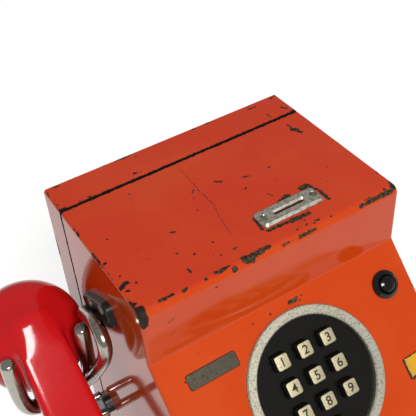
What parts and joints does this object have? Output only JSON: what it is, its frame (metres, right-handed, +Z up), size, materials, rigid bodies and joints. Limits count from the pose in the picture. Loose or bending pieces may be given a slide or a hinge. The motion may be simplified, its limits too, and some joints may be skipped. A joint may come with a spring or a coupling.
{
  "type": "coin telephone",
  "caption": "Counter-standing coin telephone: red sheet case, sloping keypad panel, handset lying in a side fork, coin slot on top, cash door and return cup on the lower front.",
  "frame": {"origin": "middle of the case's underside, on the face it stands on", "axes": "+X to the right seen from the front, +Y to the back, +Z up; the keypad faces -Y and up"},
  "size_m": [0.2705, 0.235, 0.2663],
  "materials": {
    "red_case_paint": "gloss baked enamel, worn to the black primer at its edges",
    "zinc_steel": "zinc plated sheet",
    "cast_ring": "rough sand casting, turned inner bevel",
    "black_moulding": "black phenolic, gloss",
    "key_face": "cream moulded face on a black stem",
    "slot_nickel": "nickel plated, satin",
    "screw_nickel": "nickel plated",
    "bare_badge": "dull anodised, bare",
    "yellow_plate": "yellow lacquer, bare and worn at its rim",
    "button_black": "gloss black cap",
    "bezel_black": "black enamel",
    "handset_red": "polished moulded red",
    "cap_red": "polished moulded red",
    "capsule_metal": "spun can",
    "fork_chrome": "chrome on brass, worn at the bends",
    "bracket_black": "black moulded bearing",
    "rubber_black": "soft sleeve",
    "lock_chrome": "chrome lock barrel",
    "flap_steel": "polished pressed flap",
    "board_green": "glass-fibre board with components",
    "gong_brass": "turned gong metal"
  },
  "bodies": {
    "case": {"back_box": "red_case_paint", "front_cover": "red_case_paint", "base_plate": "zinc_steel", "base_screws": "screw_nickel", "keypad_ring": "cast_ring", "keypad_plate": "black_moulding", "keypad_board": "board_green", "coin_slot_plate": "slot_nickel", "coin_plate_screws": "screw_nickel", "badge_plate": "bare_badge", "instruction_plate": "yellow_plate", "button_bezel": "bezel_black", "bezel_nut": "zinc_steel", "hook_block": "bracket_black", "hook_block_screws": "screw_nickel", "hook_switch": "black_moulding", "lower_rest_block": "bracket_black", "lower_rest": "fork_chrome", "rest_sleeve": "rubber_black", "door_hinge": "slot_nickel", "return_cup": "flap_steel", "return_chute": "zinc_steel", "chassis": "zinc_steel", "coin_chute": "zinc_steel", "coin_selector": "zinc_steel", "cash_box": "zinc_steel", "circuit_board": "board_green", "bell_gongs": "gong_brass", "case_gland": "rubber_black"},
    "handset": {"handset_shell": "handset_red", "ear_cap": "cap_red", "mouth_cap": "cap_red", "receiver_capsule": "capsule_metal", "microphone_capsule": "capsule_metal", "handset_gland": "rubber_black"},
    "hook": {"hook_fork": "fork_chrome", "hook_lever": "zinc_steel"},
    "button": {"push_button": "button_black"},
    "door": {"cash_door": "red_case_paint"},
    "lock": {"lock_barrel": "lock_chrome"},
    "flap": {"return_flap": "flap_steel"},
    "key_1": {"key_1": "key_face"},
    "key_2": {"key_2": "key_face"},
    "key_3": {"key_3": "key_face"},
    "key_4": {"key_4": "key_face"},
    "key_5": {"key_5": "key_face"},
    "key_6": {"key_6": "key_face"},
    "key_7": {"key_7": "key_face"},
    "key_8": {"key_8": "key_face"},
    "key_9": {"key_9": "key_face"},
    "key_0": {"key_0": "key_face"}
  },
  "joints": [
    {"name": "handset_lift", "type": "slide", "parent": "case", "child": "handset", "axis": [0, 0, 1], "range_m": [0, 0.11]},
    {"name": "hook_pivot", "type": "hinge", "parent": "case", "child": "hook", "pos_m": [-0.095, 0.04947, 0.204], "axis": [1, 0, 0], "range_deg": [-8, 0]},
    {"name": "button_press", "type": "slide", "parent": "case", "child": "button", "axis": [0, 0.7071, -0.7071], "range_m": [0, 0.003], "stiffness_N_per_m": 300},
    {"name": "door_swing", "type": "hinge", "parent": "case", "child": "door", "pos_m": [-0.0225, -0.11157, 0.066], "axis": [0, 0, -1], "range_deg": [0, 100]},
    {"name": "lock_turn", "type": "hinge", "parent": "door", "child": "lock", "pos_m": [0.066, -0.10897, 0.066], "axis": [0, 1, 0], "range_deg": [0, 90]},
    {"name": "flap_swing", "type": "hinge", "parent": "case", "child": "flap", "pos_m": [-0.062, -0.10577, 0.0774], "axis": [1, 0, 0], "range_deg": [0, 60]},
    {"name": "press_1", "type": "slide", "parent": "case", "child": "key_1", "axis": [0, 0.7071, -0.7071], "range_m": [0, 0.003], "stiffness_N_per_m": 300},
    {"name": "press_2", "type": "slide", "parent": "case", "child": "key_2", "axis": [0, 0.7071, -0.7071], "range_m": [0, 0.003], "stiffness_N_per_m": 300},
    {"name": "press_3", "type": "slide", "parent": "case", "child": "key_3", "axis": [0, 0.7071, -0.7071], "range_m": [0, 0.003], "stiffness_N_per_m": 300},
    {"name": "press_4", "type": "slide", "parent": "case", "child": "key_4", "axis": [0, 0.7071, -0.7071], "range_m": [0, 0.003], "stiffness_N_per_m": 300},
    {"name": "press_5", "type": "slide", "parent": "case", "child": "key_5", "axis": [0, 0.7071, -0.7071], "range_m": [0, 0.003], "stiffness_N_per_m": 300},
    {"name": "press_6", "type": "slide", "parent": "case", "child": "key_6", "axis": [0, 0.7071, -0.7071], "range_m": [0, 0.003], "stiffness_N_per_m": 300},
    {"name": "press_7", "type": "slide", "parent": "case", "child": "key_7", "axis": [0, 0.7071, -0.7071], "range_m": [0, 0.003], "stiffness_N_per_m": 300},
    {"name": "press_8", "type": "slide", "parent": "case", "child": "key_8", "axis": [0, 0.7071, -0.7071], "range_m": [0, 0.003], "stiffness_N_per_m": 300},
    {"name": "press_9", "type": "slide", "parent": "case", "child": "key_9", "axis": [0, 0.7071, -0.7071], "range_m": [0, 0.003], "stiffness_N_per_m": 300},
    {"name": "press_0", "type": "slide", "parent": "case", "child": "key_0", "axis": [0, 0.7071, -0.7071], "range_m": [0, 0.003], "stiffness_N_per_m": 300}
  ],
  "couplings": [
    {"joint": "hook_pivot", "follows": "handset_lift", "rad_per_m": -1.26}
  ]
}
